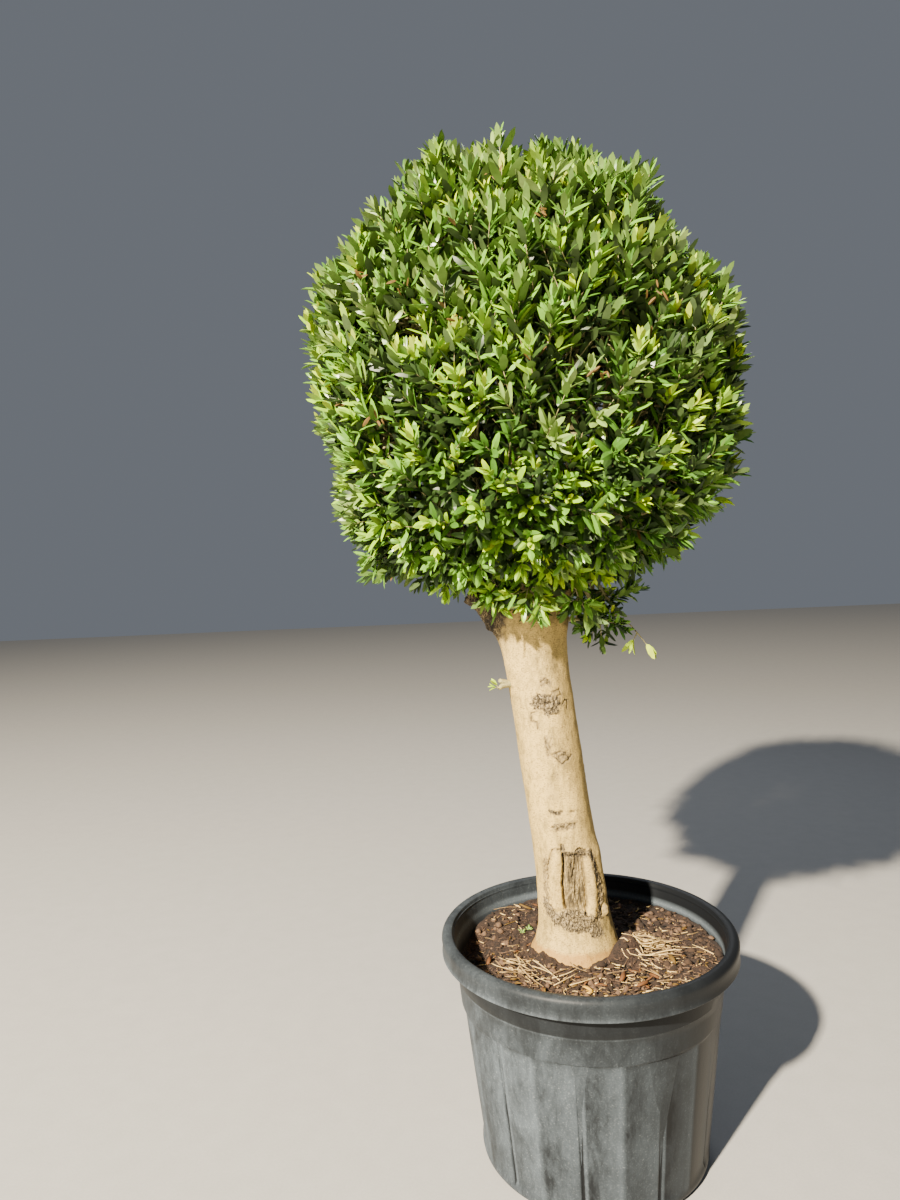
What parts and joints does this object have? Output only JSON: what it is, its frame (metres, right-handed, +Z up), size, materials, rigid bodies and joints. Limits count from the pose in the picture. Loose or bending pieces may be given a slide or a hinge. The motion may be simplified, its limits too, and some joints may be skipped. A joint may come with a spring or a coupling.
{
  "type": "potted olive tree",
  "caption": "Ball-clipped olive standard with a pale leaning trunk, boughs that fan from its head, and dense foliage, in a round black nursery pot of soil.",
  "frame": {"origin": "centre of the flat underside of the pot, on the surface that it stands on", "axes": "+Z up; the front, towards which the trunk's old wound faces, is -Y; the trunk leans towards -X"},
  "size_m": [0.8313, 0.84, 1.9363],
  "materials": {
    "pot": "satin",
    "soil": "matte",
    "bark": "matte",
    "foliage": "satin"
  },
  "bodies": {
    "root": {"pot": "pot", "soil": "soil", "trunk": "bark", "bough_left": "bark", "bough_front": "bark", "bough_right": "bark", "bough_back_right": "bark", "bough_back_left": "bark", "bough_leader": "bark", "foliage_crown": "foliage", "foliage_skirt": "foliage"}
  },
  "joints": []
}
